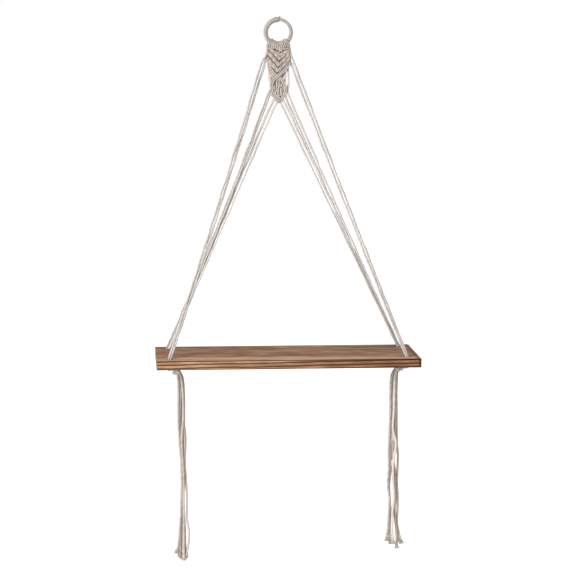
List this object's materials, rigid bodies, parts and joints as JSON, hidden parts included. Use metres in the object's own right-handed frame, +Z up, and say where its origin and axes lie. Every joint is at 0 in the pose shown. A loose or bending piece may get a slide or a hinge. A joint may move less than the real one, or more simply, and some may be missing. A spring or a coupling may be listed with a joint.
{
  "type": "macrame hanging wall shelf with a wooden board and a wrapped hanging ring",
  "caption": "Wooden wall shelf board hung by a knotted cotton macrame head from a cotton-wrapped ring, with tassels under both ends.",
  "frame": {"origin": "top of the hole of the hanging ring, where the hook bears", "axes": "+Z up, +Y towards the wall, +X to the right of someone who faces the wall"},
  "size_m": [0.42, 0.127, 0.8793],
  "materials": {
    "cotton": "matte",
    "wrapping": "matte",
    "wood": "satin"
  },
  "bodies": {
    "root": {"hanging_ring": "wrapping", "macrame_head": "cotton", "sling_front_left": "cotton", "sling_front_right": "cotton", "sling_back_left": "cotton", "sling_back_right": "cotton", "board": "wood", "under_front_left": "cotton", "under_front_right": "cotton", "under_back_left": "cotton", "under_back_right": "cotton", "knot_tassel_left": "cotton", "knot_tassel_right": "cotton"}
  },
  "joints": []
}
